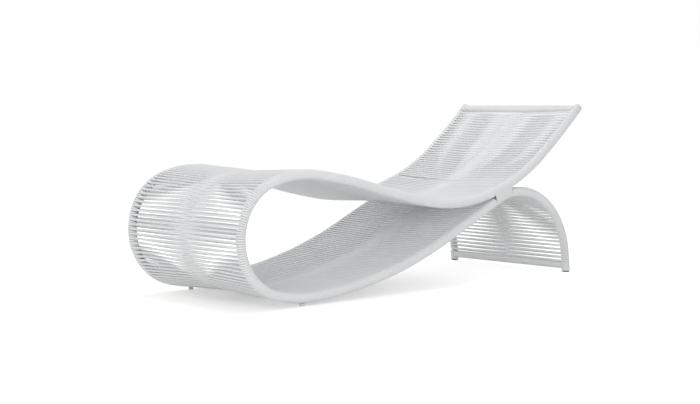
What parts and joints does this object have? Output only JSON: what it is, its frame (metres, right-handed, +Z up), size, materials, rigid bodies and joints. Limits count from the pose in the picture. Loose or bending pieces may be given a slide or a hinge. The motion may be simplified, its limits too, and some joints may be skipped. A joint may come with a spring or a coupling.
{
  "type": "spa relaxation lounger",
  "caption": "Reclined lounger with a curved back, seat and knee, a round front loop and an arched rear base, wound all over with cord.",
  "frame": {"origin": "middle of the lounger's box, on the floor", "axes": "+Z up, +X towards the head end, +Y across to the right side as seen lying on it"},
  "size_m": [1.8526, 0.663, 0.7022],
  "materials": {
    "cord": "smooth satin white cord",
    "tube": "white powder coat",
    "bar": "white powder coat",
    "fitting": "white powder coat",
    "pad": "matt dark grey",
    "glide": "moulded white"
  },
  "bodies": {
    "root": {"arch_rail_left": "tube", "arch_rail_right": "tube", "back_seat_rail_left": "tube", "back_seat_rail_right": "tube", "foot_crossbar": "bar", "foot_fitting_left": "fitting", "foot_fitting_right": "fitting", "foot_pad_left": "pad", "foot_pad_right": "pad", "front_glide_left": "glide", "front_glide_right": "glide", "head_crossbar": "bar", "head_fitting_left": "fitting", "head_fitting_right": "fitting", "heel_sleeve_left": "tube", "heel_sleeve_right": "tube", "junction_web_left": "tube", "junction_web_right": "tube", "knee_sleeve_left": "tube", "knee_sleeve_right": "tube", "loop_rail_left": "tube", "loop_rail_right": "tube", "ramp_rail_left": "tube", "ramp_rail_right": "tube", "ramp_sleeve_left": "tube", "ramp_sleeve_right": "tube", "winding_arch_rear": "cord", "winding_arch_top": "cord", "winding_back_lower": "cord", "winding_back_middle": "cord", "winding_back_upper": "cord", "winding_crest": "cord", "winding_junction": "cord", "winding_knee_front": "cord", "winding_knee_rear": "cord", "winding_leg_lower": "cord", "winding_leg_upper": "cord", "winding_loop_1": "cord", "winding_loop_2": "cord", "winding_loop_3": "cord", "winding_loop_4": "cord", "winding_loop_5": "cord", "winding_loop_6": "cord", "winding_loop_7": "cord", "winding_loop_8": "cord", "winding_ramp_1": "cord", "winding_ramp_2": "cord", "winding_ramp_3": "cord", "winding_ramp_4": "cord", "winding_ramp_5": "cord", "winding_ramp_6": "cord", "winding_seat_front": "cord", "winding_seat_middle": "cord", "winding_seat_rear": "cord", "winding_thigh": "cord"}
  },
  "joints": []
}
